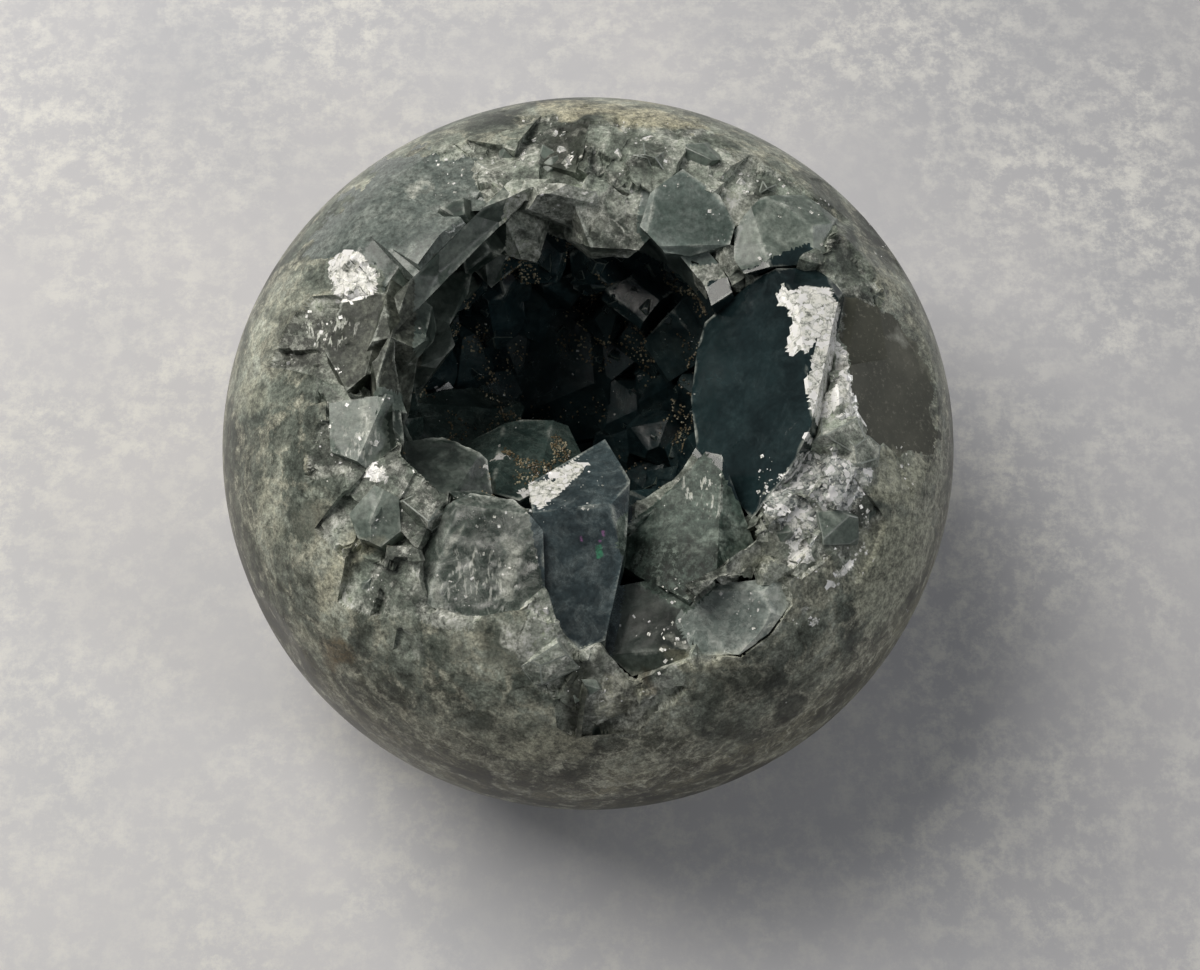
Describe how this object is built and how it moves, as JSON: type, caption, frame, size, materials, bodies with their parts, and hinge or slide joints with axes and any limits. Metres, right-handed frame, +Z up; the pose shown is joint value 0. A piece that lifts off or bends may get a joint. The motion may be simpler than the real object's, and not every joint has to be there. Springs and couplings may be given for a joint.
{
  "type": "polished celestine geode",
  "caption": "Round ground and polished celestine geode, open on top into a hollow lined with blocky clear blue-grey crystals.",
  "frame": {"origin": "middle of the ground base, at the centre of the outline's box", "axes": "+Z up out of the mouth, +X to the side with the tall blade crystal, +Y to the back, away from the viewer of the picture"},
  "size_m": [0.112, 0.112, 0.0737],
  "materials": {
    "polished_celestine": "ground and polished massive celestine, grey-green with cloudy white veins, satin gloss, rough where the rim is broken",
    "clear_celestine": "natural crystal faces, clear blue-grey to dark teal with white veils, vitreous, pearly where cleaved"
  },
  "bodies": {
    "root": {"geode_wall": "polished_celestine", "crystal_crust": "clear_celestine"}
  },
  "joints": []
}
